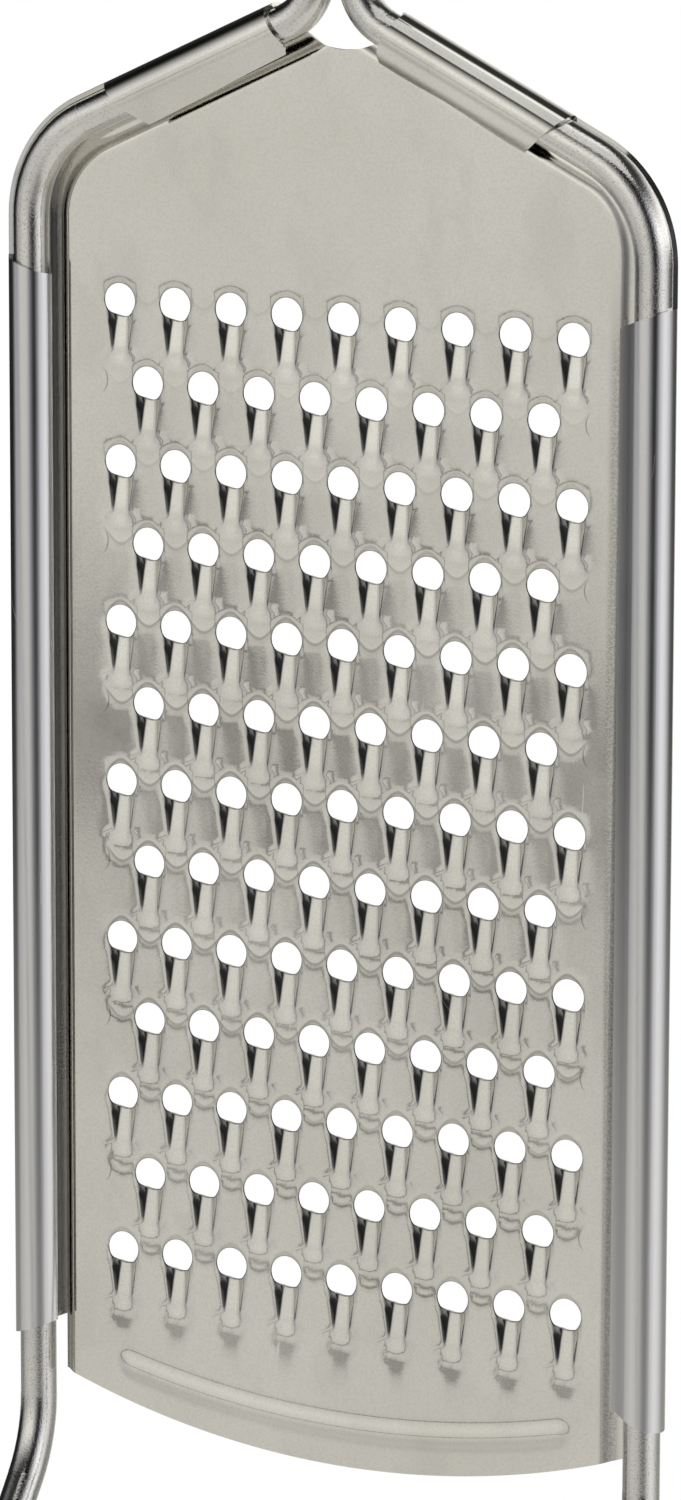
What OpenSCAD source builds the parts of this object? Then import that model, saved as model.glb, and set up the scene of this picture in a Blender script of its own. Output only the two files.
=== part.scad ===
// A flat hand grater: one pressed sheet of steel rolled round a bent wire frame.
// The wire's plane is Y = 0. The pressed side of the sheet, with its rolled edges and
// hollows, faces -Y, and the cutting edges stand out at +Y. Z points to the handle.

/* [Wire frame] */
// Diameter of the wire
wire_d = 5.4; // [5:0.1:6]
// Distance between the centre lines of the two side wires
frame_w = 100.6; // [98:0.2:106]
// Radius of the frame's shoulder corners, on the wire's centre line
corner_r = 16.5; // [15:0.5:18]
// Turn of the wire at a shoulder corner, away from upright
shoulder_turn = 64.5; // [62:0.5:67]
// Height of the corners' bend centres above the middle of the tooth field
corner_z = 83; // [82:0.5:88]
// Radius of the tight bend that leads each wire into the neck
neck_r = 8; // [7:0.5:10]
// Gap between the two wires in the neck
neck_gap = 1; // [0.8:0.1:2]

/* [Handle] */
// Length of the neck where the wires run side by side
neck_len = 6; // [4:1:12]
// Radius of the bends that open the handle loop
handle_bend_r = 20; // [16:1:24]
// Angle at which the wires leave the neck
handle_spread = 30; // [26:1:34]
// Distance between the centre lines of the handle's legs
handle_w = 27; // [24:1:32]
// Length of the handle's straight legs
handle_leg = 85; // [60:5:110]

/* [Feet] */
// Depth of the start of the foot bend, below the middle of the tooth field
foot_drop = 95; // [92:1:100]
// Radius of the foot bend
foot_bend_r = 20; // [16:1:30]
// Angle that the foot bends forward by
foot_turn = 38; // [30:1:60]
// Length of the straight end of the foot
foot_len = 26; // [18:1:34]
// Outer diameter of the soft foot cap
cap_d = 9; // [8.2:0.1:11]
// Length of wire inside the foot cap
cap_grip = 13; // [8:1:16]
// Thickness of the cap's closed end
cap_end = 3; // [1.5:0.5:4]

/* [Sheet] */
// Thickness of the sheet
sheet_t = 0.6; // [0.5:0.05:0.8]
// Clearance between the wire and the sheet rolled round it
roll_gap = 0.06; // [0.05:0.01:0.1]
// Step of the tooth field towards the pressed side
field_step = 0.68; // [0.5:0.02:0.8]
// Width of the flat strip that runs beside the wire's centre line
strip_w = 3.9; // [3.6:0.1:4.4]
// Distance of the sheet's side edge from the wire's centre line, below the rolls
side_inset = 3.4; // [3:0.1:3.5]
// Width of the slope between the strip and the tooth field
step_w = 1.5; // [1.2:0.1:2]
// Lowest point of the sheet, below the middle of the tooth field
sheet_drop = 99.5; // [99:0.5:104]
// Radius of the sheet's bowed lower edge
lower_edge_r = 137.5; // [120:2.5:160]
// Radius of the notch under the neck
notch_r = 11.1; // [9:0.1:13]
// Depth of the notch below the crossing of the two shoulder lines of the tooth field
notch_depth = 1.5; // [1:0.1:3]

/* [Rolled edges] */
// Angle of sheet wrapped round the wire, from behind it, on the rolled stretches
roll_wrap = 216; // [205:1:225]
// Angle of sheet wrapped round the wire between the rolled stretches
open_wrap = 90; // [80:5:90]
// Straight lip of the side rolls, past the wrapped part
side_lip = 2.2; // [1.6:0.1:2.8]
// Straight lip of the shoulder tabs, past the wrapped part
tab_lip = 3.4; // [2.6:0.1:3.8]
// Height of the upper end of the side rolls, on their outside
roll_top = 77.5; // [74:0.5:80]
// Depth of the lower end of the side rolls, on their outside
roll_bottom = 85.9; // [84:0.1:88]
// Slant of the side rolls' ends
roll_slant = 24; // [15:1:30]
// Start of the shoulder tab past the corner, on its outside
tab_start = 5.1; // [4:0.1:7]
// Length of the shoulder tab on its outside
tab_len = 29.5; // [26:0.5:30]
// Slant of the tab's end beside the corner
tab_slant = 29; // [20:1:35]
// Slant of the tab's end beside the neck
neck_slant = 10; // [5:1:12]

/* [Teeth] */
// Distance between two teeth in a row
tooth_pitch = 9.2; // [8.9:0.1:9.6]
// Distance between two rows
row_pitch = 11.87; // [11.2:0.01:12.2]
// Number of teeth in a long row
long_row = 9; // [7:2:9]
// Number of rows, long and short in turn
rows = 13; // [9:2:13]
// Diameter of a tooth's hole
hole_d = 5; // [4.4:0.1:5.2]
// Radius of the hollow below a hole, on the pressed side
hollow_r = 2.4; // [2.1:0.1:2.6]
// Depth of the hollow at the cutting edge
hollow_depth = 1.2; // [1:0.05:1.5]
// Slope of the hollow's floor
hollow_slope = 12; // [10:0.5:14]

/* [Bead] */
// Radius of the bowed bead above the lower edge
bead_r = 152.8; // [140:2:170]
// Height of the bead's middle above the sheet's lowest point
bead_rise = 5.9; // [5:0.1:8]
// Distance of the bead's ends from the middle
bead_reach = 38; // [32:1:40]
// Width of the bead
bead_w = 3.6; // [3:0.1:4]
// Height of the bead above the sheet
bead_h = 0.8; // [0.6:0.05:1]

/* [Hidden] */
$fn = 48;

// Clearance between a foot cap and its wire
cap_gap = 0.05;
// Number of rings that round a foot cap's end
cap_rings = 6;
// Overrun of every cut past the surface that it opens
over = 1;
// Length by which a straight run reaches into the bends beside it
joint_lap = 0.3;
// Extra thickness of a bend on each side, so that it takes in the ends of the straight runs
bend_swell = 0.02;
// Angle by which the sheet wrapped round a corner passes that of the straight runs
corner_over = 2;

wire_r = wire_d / 2;
wire_x = frame_w / 2;
neck_x = wire_r + neck_gap / 2;
corner_x = wire_x - corner_r;
shoulder_len = (corner_x + corner_r * cos(shoulder_turn)
    - neck_r * (1 - cos(shoulder_turn)) - neck_x) / sin(shoulder_turn);
neck_z = corner_z + (corner_r + neck_r) * sin(shoulder_turn) + shoulder_len * cos(shoulder_turn);

leg_x = handle_w / 2;
slope_len = (leg_x - neck_x - 2 * handle_bend_r * (1 - cos(handle_spread))) / sin(handle_spread);
leg_z = neck_z + neck_len + 2 * handle_bend_r * sin(handle_spread) + slope_len * cos(handle_spread);
top_z = leg_z + handle_leg;
eye_z = top_z + leg_x - wire_r;

roll_in = wire_r + roll_gap;
roll_out = roll_in + sheet_t;
field_y = roll_in - field_step;
field_n = strip_w + step_w;
field_x = wire_x - field_n;
field_corner_r = corner_r - field_n;
apex_z = corner_z + corner_x / tan(shoulder_turn) + field_corner_r / sin(shoulder_turn);
notch_z = apex_z - notch_depth + notch_r;
lower_arc_z = lower_edge_r - sheet_drop;
side_z = -sheet_drop - over;
side_len = corner_z - side_z + joint_lap;

hollow_out_r = hollow_r + sheet_t;
hole_r = hole_d / 2;
hollow_end = hollow_depth / tan(hollow_slope) + hole_r;
hollow_axis_y = hollow_r - hollow_depth;
hollow_len = (hollow_end + over) / cos(hollow_slope);
tooth_top = hole_r / 3;

bead_z = bead_r - sheet_drop + bead_rise;
bead_angle = asin(bead_reach / bead_r);
bead_section_r = (bead_w * bead_w / 4 + bead_h * bead_h) / (2 * bead_h);
bead_axis_f = bead_h - bead_section_r;
bead_end_angle = asin(sheet_t / bead_r);

cap_r = cap_d / 2;
cap_bore = wire_r + cap_gap;
cap_h = cap_grip + cap_end;

// Draws its children about the middle of the tooth field, with the hanging eye at the origin
module placed() {
    translate([0, 0, -eye_z]) children();
}

// Sweeps a section from +X towards +Z about the Y axis: its x is the radius, its y points to -Y
module bend(r, turn) {
    rotate([90, 0, 0]) rotate_extrude(angle = turn) translate([r, 0]) children();
}

// Bent wire that starts upright at the origin and leans towards +X, then its children at the end
module bend_out(r, turn) {
    translate([r, 0, 0]) mirror([1, 0, 0]) {
        bent_rod(r, turn);
        rotate([0, -turn, 0]) translate([r, 0, 0]) children();
    }
}

// Bent wire about the Y axis
module bent_rod(r, turn) {
    bend(r, turn) circle(r = wire_r + bend_swell);
}

// Straight wire along Z
module rod(from, to) {
    translate([0, 0, from]) cylinder(r = wire_r, h = to - from);
}

// Places its children at the bend centre of the right-hand foot, with the bend from +X to +Z
module foot_bend_place() {
    translate([wire_x, -foot_bend_r, -foot_drop]) mirror([0, 0, 1]) rotate([0, 0, 90]) children();
}

// Places its children at the start of the foot's straight end, with Z along the wire
module foot_place() {
    foot_bend_place() rotate([0, -foot_turn, 0]) translate([foot_bend_r, 0, 0]) children();
}

// Right-hand wire, from the foot's end to the neck
module side_wire() {
    translate([wire_x, 0, -foot_drop]) rod(-joint_lap, foot_drop + corner_z + joint_lap);
    translate([corner_x, 0, corner_z]) {
        bent_rod(corner_r, shoulder_turn);
        rotate([0, -shoulder_turn, 0]) translate([corner_r, 0, 0]) {
            rod(-joint_lap, shoulder_len + joint_lap);
            translate([0, 0, shoulder_len]) bend_out(neck_r, shoulder_turn);
        }
    }
    foot_bend_place() bent_rod(foot_bend_r, foot_turn);
    foot_place() rod(-joint_lap, foot_len);
}

// One half of the handle loop, up to the start of its round end
module handle_half() {
    translate([neck_x, 0, neck_z]) {
        rod(0, neck_len + joint_lap);
        translate([0, 0, neck_len]) bend_out(handle_bend_r, handle_spread) {
            rod(-joint_lap, slope_len + joint_lap);
            translate([0, 0, slope_len]) bend_out(handle_bend_r, handle_spread);
        }
    }
    translate([leg_x, 0, leg_z]) rod(-joint_lap, handle_leg + joint_lap);
}

// Closed cap over the end of the right-hand foot
module foot_cap() {
    round_r = cap_end;
    rounding = [for (i = [0:cap_rings]) let (a = 90 * i / cap_rings)
        [cap_r - round_r + round_r * cos(a), cap_h - round_r + round_r * sin(a)]];
    foot_place() translate([0, 0, foot_len - cap_grip]) difference() {
        rotate_extrude() polygon(concat([[0, 0], [cap_r, 0]], rounding, [[0, cap_h]]));
        translate([0, 0, -over]) cylinder(r = cap_bore, h = cap_grip + cap_gap + over);
    }
}

// Wedge that keeps the part of a wrapped ring from behind the wire round its outside
module wrap_wedge(wrap) {
    reach = 2 * roll_out;
    polygon(concat([[0, 0]], [for (i = [0:6]) let (a = wrap * i / 6 - 90)
        [reach * cos(a), reach * sin(a)]]));
}

// Ring of sheet round the wire
module wrap_ring(wrap, swell) {
    intersection() {
        difference() {
            circle(r = roll_out + swell);
            circle(r = roll_in - swell);
        }
        wrap_wedge(wrap);
    }
}

// Section of the flat sheet beside the wire: x points outwards from its centre, y to the pressed side
module strip_section(swell) {
    rim_n = field_n + step_w;
    far = -sheet_t - swell;
    polygon([[0, -roll_in + far], [0, -roll_in + swell], [-strip_w + swell, -roll_in + swell],
        [-field_n + swell, -field_y + swell], [-rim_n, -field_y + swell], [-rim_n, -field_y + far],
        [-field_n - swell, -field_y + far], [-strip_w - swell, -roll_in + far]]);
}

// Section of the straight lip past a roll, a hair thinner than the roll that it starts in
module lip_section(lip) {
    end = roll_wrap - 90;
    out = [cos(end), sin(end)];
    along = [-sin(end), cos(end)];
    inner = (roll_in + bend_swell) * out;
    outer = (roll_out - bend_swell) * out;
    polygon([inner - joint_lap * along, outer - joint_lap * along, outer + lip * along,
        inner + lip * along]);
}

// Straight run of the sheet's edge along Z, on the wire's right-hand side
module edge_run(len, lip) {
    mirror([0, 1, 0]) linear_extrude(len) union() {
        strip_section(0);
        wrap_ring(roll_wrap, 0);
        lip_section(lip);
    }
}

// Block that trims a roll on the pressed side, past a slanted end that starts on the outside
module roll_trim(slant, way, back) {
    translate([roll_out, -frame_w, 0]) rotate([0, slant, 0])
        translate([-frame_w, 0, way > 0 ? 0 : -frame_w]) cube([2 * frame_w, frame_w + back, frame_w]);
}

// Right-hand side roll, with the slope to the tooth field down to the lower edge
module side_edge() {
    difference() {
        translate([wire_x, 0, side_z]) edge_run(side_len, side_lip);
        translate([wire_x, 0, roll_top]) roll_trim(-roll_slant, 1, 0);
        translate([wire_x, 0, -roll_bottom]) roll_trim(roll_slant, -1, 0);
        intersection() {
            translate([wire_x, 0, -roll_bottom]) roll_trim(roll_slant, -1, 2 * roll_out);
            translate([wire_x - side_inset, -frame_w, -frame_w * 2])
                cube([frame_w, frame_w * 2, frame_w * 2]);
        }
    }
}

// Right-hand shoulder with its tab
module shoulder_edge() {
    run = shoulder_len + 2 * corner_r;
    translate([corner_x, 0, corner_z]) rotate([0, -shoulder_turn, 0])
        translate([corner_r, 0, 0]) difference() {
            translate([0, 0, -joint_lap]) edge_run(run, tab_lip);
            translate([0, 0, tab_start]) roll_trim(tab_slant, -1, 0);
            translate([0, 0, tab_start + tab_len]) roll_trim(neck_slant, 1, 0);
        }
}

// Right-hand corner of the sheet
module corner_edge() {
    translate([corner_x, 0, corner_z]) bend(corner_r, shoulder_turn) union() {
        strip_section(bend_swell);
        wrap_ring(open_wrap + corner_over, bend_swell);
    }
}

// Middle of the sheet: it overlaps the flat rims of the edges and the corners
module field() {
    rim_x = field_x - step_w / 2;
    rim_r = field_corner_r - step_w / 2;
    round_r = field_corner_r - step_w * 2 / 3;
    shoulder = [corner_x + rim_r * cos(shoulder_turn) - step_w * sin(shoulder_turn),
        corner_z + rim_r * sin(shoulder_turn) + step_w * cos(shoulder_turn)];
    side_top = corner_z - step_w;
    apex = corner_z + corner_x / tan(shoulder_turn) + rim_r / sin(shoulder_turn);
    translate([0, field_y + sheet_t, 0]) rotate([90, 0, 0]) linear_extrude(sheet_t) union() {
        polygon([[-rim_x, side_z], [rim_x, side_z], [rim_x, side_top], shoulder, [0, apex],
            [-shoulder[0], shoulder[1]], [-rim_x, side_top]]);
        for (side = [-1, 1]) translate([side * corner_x, corner_z]) circle(r = round_r);
    }
}

// Places its children at every tooth's hole, on the pressed face
module tooth_places() {
    for (row = [0:rows - 1]) {
        count = long_row - row % 2;
        for (i = [0:count - 1])
            translate([(i - (count - 1) / 2) * tooth_pitch, field_y,
                ((rows - 1) / 2 - row) * row_pitch]) children();
    }
}

// Sloping cylinder below a hole, with the hollow's or its outside's radius
module hollow(r) {
    translate([0, -hollow_axis_y + hole_r * tan(hollow_slope), 0]) rotate([180 - hollow_slope, 0, 0])
        cylinder(r = r, h = hollow_len);
}

// Outside of one tooth, standing out behind the sheet
module tooth() {
    intersection() {
        hollow(hollow_out_r);
        translate([-tooth_pitch / 2, sheet_t / 2, -hollow_end - over])
            cube([tooth_pitch, hollow_out_r, hollow_end + over - tooth_top]);
    }
}

// Bead section: the ring of given radius, kept on one side of the sheet
module bead_ring(r, turn) {
    translate([0, 0, bead_z]) rotate([0, 90 + turn, 0]) bend(bead_r, 2 * turn)
        translate([0, -field_y + bead_axis_f]) circle(r = r);
}

module grater_plate() {
    color("silver") placed() difference() {
        union() {
            intersection() {
                union() {
                    field();
                    for (side = [0, 1]) mirror([side, 0, 0]) {
                        side_edge();
                        corner_edge();
                        intersection() {
                            shoulder_edge();
                            translate([0, -frame_w / 2, 0]) cube([frame_w, frame_w, 2 * frame_w]);
                        }
                    }
                }
                translate([0, -frame_w / 2, lower_arc_z]) rotate([-90, 0, 0])
                    cylinder(r = lower_edge_r, h = frame_w);
            }
            tooth_places() tooth();
            intersection() {
                bead_ring(bead_section_r, bead_angle);
                translate([-frame_w / 2, field_y - 2 * bead_h, -2 * sheet_drop])
                    cube([frame_w, 2 * bead_h + sheet_t / 2, 2 * sheet_drop]);
            }
        }
        tooth_places() {
            hollow(hollow_r);
            translate([0, -over, 0]) rotate([-90, 0, 0])
                cylinder(r = hole_r, h = over + hollow_out_r + sheet_t);
        }
        bead_ring(bead_section_r - sheet_t, bead_angle - bead_end_angle);
        translate([0, 0, notch_z]) rotate([-90, 0, 0])
            translate([0, 0, -2 * field_n]) cylinder(r = notch_r, h = 4 * field_n);
    }
}

module right_side_wire() {
    color("gainsboro") placed() side_wire();
}

module left_side_wire() {
    color("gainsboro") placed() mirror([1, 0, 0]) side_wire();
}

module handle_loop() {
    color("gainsboro") placed() {
        handle_half();
        mirror([1, 0, 0]) handle_half();
        translate([0, 0, top_z]) bent_rod(leg_x, 180);
    }
}

module right_foot_cap() {
    color("dimgray") placed() foot_cap();
}

module left_foot_cap() {
    color("dimgray") placed() mirror([1, 0, 0]) foot_cap();
}

grater_plate();
left_side_wire();
right_side_wire();
handle_loop();
left_foot_cap();
right_foot_cap();
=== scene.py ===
"""Flat hand grater seen from its pressed side: wire frame, rolled sheet, teeth, capped feet."""

import math

import bmesh
import bpy
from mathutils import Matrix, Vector


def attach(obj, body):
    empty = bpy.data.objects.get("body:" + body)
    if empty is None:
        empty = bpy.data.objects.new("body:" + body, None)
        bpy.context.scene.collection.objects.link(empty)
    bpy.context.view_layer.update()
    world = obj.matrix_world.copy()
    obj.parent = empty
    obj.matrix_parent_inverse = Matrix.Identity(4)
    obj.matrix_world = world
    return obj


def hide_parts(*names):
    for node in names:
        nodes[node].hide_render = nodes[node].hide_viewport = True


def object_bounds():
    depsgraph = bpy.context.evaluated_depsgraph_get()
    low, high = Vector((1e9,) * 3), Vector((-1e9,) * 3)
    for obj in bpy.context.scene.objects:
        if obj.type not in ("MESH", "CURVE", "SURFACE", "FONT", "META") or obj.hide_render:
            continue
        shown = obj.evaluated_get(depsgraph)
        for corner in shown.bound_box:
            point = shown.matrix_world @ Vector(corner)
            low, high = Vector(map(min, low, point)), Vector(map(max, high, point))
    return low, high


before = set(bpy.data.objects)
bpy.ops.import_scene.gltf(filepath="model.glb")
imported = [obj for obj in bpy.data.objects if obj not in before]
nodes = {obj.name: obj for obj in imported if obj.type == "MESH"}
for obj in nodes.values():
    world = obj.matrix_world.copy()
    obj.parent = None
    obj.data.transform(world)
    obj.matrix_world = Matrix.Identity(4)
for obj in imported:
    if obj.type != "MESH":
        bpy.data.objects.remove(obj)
cad_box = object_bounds()

MM = 0.001


def deselect_all():
    if bpy.context.mode != "OBJECT":
        bpy.ops.object.mode_set(mode="OBJECT")
    bpy.ops.object.select_all(action="DESELECT")


# ---------------------------------------------------------------- sizes of the sheet, in millimetres

# They are measured from the middle of the tooth field. The wire's plane is Y = 0.
# The height of the hanging eye, where the shared frame has its origin
EYE_Z = 251.28
# The frame wire: how far out its sides lie, the middle and the radius of its corners, and their turn
WIRE_X = 50.3
CORNER_X, CORNER_Z, CORNER_R = 33.8, 83.0, 16.5
SHOULDER_TURN = math.radians(64.5)
# The pressed face of the tooth field, the inner and outer face of the rolls, the sheet's thickness,
# and how far inwards from the wire the strip behind it reaches
FIELD_Y = 2.08
ROLL_R, ROLL_OUT = 2.76, 3.36
SHEET_T = 0.6
SIDE_INSET = 3.4
# The notch's circle: height and radius, and how far its middle lies along the shoulder and outside it
NOTCH_Z, NOTCH_R = 121.02, 11.1
NOTCH_ALONG, NOTCH_ACROSS = 46.88, 3.27
NOTCH_STEPS = 2
# The circle of the curved lower edge
LOWER_Z, LOWER_R, LOWER_STEPS = 38.0, 137.5, 64
# The bead: its circle and half length, its half width and height, and the lines drawn along it
BEAD_Z, BEAD_R, BEAD_REACH = 59.2, 152.8, 38.1
BEAD_HALF, BEAD_H = 2.5, 0.32
BEAD_LINES = (-3.4, -2.6, -2.0, -1.7, -1.4, -1.05, -0.7, -0.35, 0, 0.35, 0.7, 1.05, 1.4, 1.7, 2.0, 2.6, 3.4)
BEAD_MARGIN, BEAD_FINE = math.radians(0.75), math.radians(1.0)
BEAD_STEPS, BEAD_END_STEPS = 40, 12
# The tooth field: from column to column and from row to row, holes in a long row, and rows
PITCH, ROW = 9.2, 11.87
LONG_ROW, ROWS = 9, 13
# How far each step of the plain borders goes on past the field
BORDER_ABOVE, BORDER_BELOW = (0.6, 0.8), (-0.8, -0.9, -1.0, -1.2)
# The heights between which the sheet is pressed
PRESSED_BOTTOM, PRESSED_TOP = -86, 76
# One tooth's patch: the hole and the rings round it, the grid, its top, and the block round the hole
HOLE_R = 2.5
RINGS, RINGS_REACH = (2.6, 2.7), 2.9
CELL_COLUMNS, CELL_ROWS = 16, 14
CELL_TOP = 3.6
HOLE_COLUMNS, HOLE_ROWS = 10, 7
# The groove below a hole: where it starts and its depth at both ends, then its half width at both
# ends and the middle of its round end
GROOVE_TOP, GROOVE_DEEP, GROOVE_END = -2.5, 1.13, 0.32
GROOVE_HALF, BULB_HALF, BULB_Z = 2.1, 1.52, -7.7
# How widely its floor and its mouth are rounded, how high up it goes, and how far out it is felt
FLOOR_ROUND, MOUTH_ROUND = 0.12, 0.07
GROOVE_HIGHEST, GROOVE_OUTSIDE = 0.5, -1.0
# The depth that a full weight of pressing stands for
PRESS_SCALE = GROOVE_DEEP + 0.1
# How far the grid's lines lie from the edges of the groove: beside it, on its walls, and far out
LINE_BESIDE, LINE_ON_WALL, LINE_FAR = 0.1, 0.12, 0.6
# The drawn-in rim of a hole: its depth, how fast it fades, and the least depth that counts
RIM_DEEP, RIM_FADE, RIM_LEAST = 0.15, 0.2, 0.002
# The shallow dish pressed round a groove: its depth, half width, width of slope, and two ends
DISH_DEEP, DISH_HALF, DISH_SLOPE = 0.10, 2.9, 1.0
DISH_TOP, DISH_BOTTOM = -3.5, -9.3
# The depths of the groove at which the rim and the dish are gone
RIM_GONE, DISH_GONE = 0.5, 0.4
# Distances under which two places count as one, as near, and as in the plane of the pressed face,
# and how far a vertex at the end of a run may lie past it and still belong to it
SAME, NEAR, IN_PLANE = 0.01, 0.1, 0.001
PAST_SIDE, PAST_CORNER = 1e-4, 1e-3
# Distances under which the vertices of the patches, and of the parts of the sheet, are merged
MERGE_CELLS, MERGE_PARTS = 0.02, 0.03
SMOOTH_ANGLE = math.radians(40)


def edit(piece):
    deselect_all()
    bpy.context.view_layer.objects.active = piece
    piece.select_set(True)
    bpy.ops.object.mode_set(mode="EDIT")
    bpy.ops.mesh.select_mode(type="VERT")


def edit_all(piece):
    """Edit mode with all of the piece selected."""
    edit(piece)
    bpy.ops.mesh.select_all(action="SELECT")


def leave_edit():
    bpy.ops.object.mode_set(mode="OBJECT")


def pick(piece, test, kind="VERT"):
    """In edit mode, selects the vertices, edges or faces whose middle passes the test."""
    bpy.ops.mesh.select_mode(type=kind)
    bpy.ops.mesh.select_all(action="DESELECT")
    mesh = bmesh.from_edit_mesh(piece.data)
    parts = {"VERT": mesh.verts, "EDGE": mesh.edges, "FACE": mesh.faces}[kind]
    for part in parts:
        if kind == "VERT":
            chosen = test(part.co)
        elif kind == "EDGE":
            chosen = test(part)
        else:
            chosen = test(part.calc_center_median())
        if chosen:
            part.select_set(True)
    mesh.select_flush_mode()
    bmesh.update_edit_mesh(piece.data)


def apply_all(piece):
    deselect_all()
    bpy.context.view_layer.objects.active = piece
    piece.select_set(True)
    for modifier in list(piece.modifiers):
        bpy.ops.object.modifier_apply(modifier=modifier.name)


def join(pieces, name):
    deselect_all()
    for piece in pieces:
        piece.select_set(True)
    bpy.context.view_layer.objects.active = pieces[0]
    bpy.ops.object.join()
    whole = bpy.context.active_object
    whole.name = name
    whole.data.name = name
    return whole


def flat_grid(name, columns, rows, centre, width, height):
    """Upright grid in the plane of the sheet's pressed face."""
    deselect_all()
    bpy.ops.mesh.primitive_grid_add(x_subdivisions=columns, y_subdivisions=rows, size=1.0)
    grid = bpy.context.active_object
    grid.name = name
    grid.scale = (width, height, 1.0)
    grid.rotation_euler = (math.pi / 2, 0, 0)
    grid.location = (centre[0], FIELD_Y, centre[1])
    bpy.ops.object.transform_apply(location=True, rotation=True, scale=True)
    return grid


def smooth_step(share):
    return share * share * (3 - 2 * share)


def notch_edge_along(inwards):
    """How far along the shoulder the notch lies, at a distance inwards from the wire."""
    return NOTCH_ALONG - math.sqrt(NOTCH_R ** 2 - (NOTCH_ACROSS + inwards) ** 2)


def along_groove(z):
    """Share of the way from the hole to the round end of the groove."""
    return min(1.0, max(0.0, (GROOVE_TOP - z) / (GROOVE_TOP - BULB_Z)))


def groove_floor(z):
    return GROOVE_DEEP + along_groove(z) * (GROOVE_END - GROOVE_DEEP)


def groove_half_width(z):
    return GROOVE_HALF + along_groove(z) * (BULB_HALF - GROOVE_HALF)


def tooth_cell():
    """Patch of sheet round one hole, with its lines drawn in along the groove below the hole."""
    cell = flat_grid("tooth_cell", CELL_COLUMNS, CELL_ROWS, (0, CELL_TOP - ROW / 2), PITCH, ROW)
    column, row = PITCH / CELL_COLUMNS, ROW / CELL_ROWS
    reach_x = column * HOLE_COLUMNS / 2
    reach_top = CELL_TOP - row
    reach_z = reach_top - row * HOLE_ROWS
    edit(cell)
    pick(cell, lambda c: abs(c.x) < reach_x and reach_z < c.z < reach_top, "FACE")
    bpy.ops.mesh.delete(type="FACE")
    leave_edit()
    deselect_all()
    bpy.ops.mesh.primitive_circle_add(vertices=2 * (HOLE_COLUMNS + HOLE_ROWS), radius=HOLE_R,
                                      location=(0, FIELD_Y, 0), rotation=(math.pi / 2, 0, 0))
    rim = bpy.context.active_object
    bpy.ops.object.transform_apply(location=True, rotation=True, scale=True)
    edit(rim)
    radius = HOLE_R
    for wider in RINGS:
        bpy.ops.mesh.select_mode(type="EDGE")
        bpy.ops.mesh.extrude_edges_move()
        bpy.ops.transform.resize(value=(wider / radius, 1, wider / radius),
                                 center_override=(0, FIELD_Y, 0))
        radius = wider
    bpy.ops.mesh.select_all(action="SELECT")
    bpy.ops.transform.translate(value=(0, -1, 0))
    leave_edit()
    cell = join([cell, rim], "tooth_cell")
    edit(cell)

    def bridged(edge):
        if not edge.is_boundary:
            return False
        middle = (edge.verts[0].co + edge.verts[1].co) / 2
        in_block = abs(middle.x) < reach_x + NEAR and reach_z - NEAR < middle.z < reach_top + NEAR
        return in_block and math.hypot(middle.x, middle.z) > radius - NEAR

    pick(cell, bridged, "EDGE")
    bpy.ops.mesh.bridge_edge_loops()
    bpy.ops.mesh.select_all(action="SELECT")
    bpy.ops.transform.resize(value=(1, 0, 1), center_override=(0, FIELD_Y, 0))
    leave_edit()
    lines = CELL_COLUMNS // 2
    for vertex in cell.data.vertices:
        z = vertex.co.z
        if not CELL_TOP - ROW + NEAR < z < reach_z + NEAR or math.hypot(vertex.co.x, z) < RINGS_REACH:
            continue
        half = groove_half_width(z)
        floor = half - groove_floor(z)
        places = [0, 0.5 * (floor - LINE_BESIDE), floor - LINE_BESIDE, floor + LINE_ON_WALL,
                  half - LINE_ON_WALL, half + LINE_BESIDE, half + LINE_FAR]
        outermost = len(places) - 1
        for line in range(outermost + 1, lines + 1):
            share = (line - outermost) / (lines - outermost)
            places.append(places[outermost] + share * (PITCH / 2 - places[outermost]))
        line = round(abs(vertex.co.x) / column)
        vertex.co.x = math.copysign(places[line], vertex.co.x)
    return cell


def arrayed(piece, name, x_count, z_count, start):
    """Copy of a patch repeated along the rows and from row to row."""
    copy = piece.copy()
    copy.data = piece.data.copy()
    copy.name = name
    bpy.context.scene.collection.objects.link(copy)
    deselect_all()
    copy.select_set(True)
    bpy.context.view_layer.objects.active = copy
    copy.location = (start[0], 0, start[1])
    bpy.ops.object.transform_apply(location=True, rotation=True, scale=True)
    for count, step in ((x_count, (PITCH, 0, 0)), (z_count, (0, 0, -2 * ROW))):
        if count > 1:
            array = copy.modifiers.new("array", "ARRAY")
            array.count = count
            array.use_relative_offset = False
            array.use_constant_offset = True
            array.constant_offset_displace = step
    apply_all(copy)
    return copy


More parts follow.
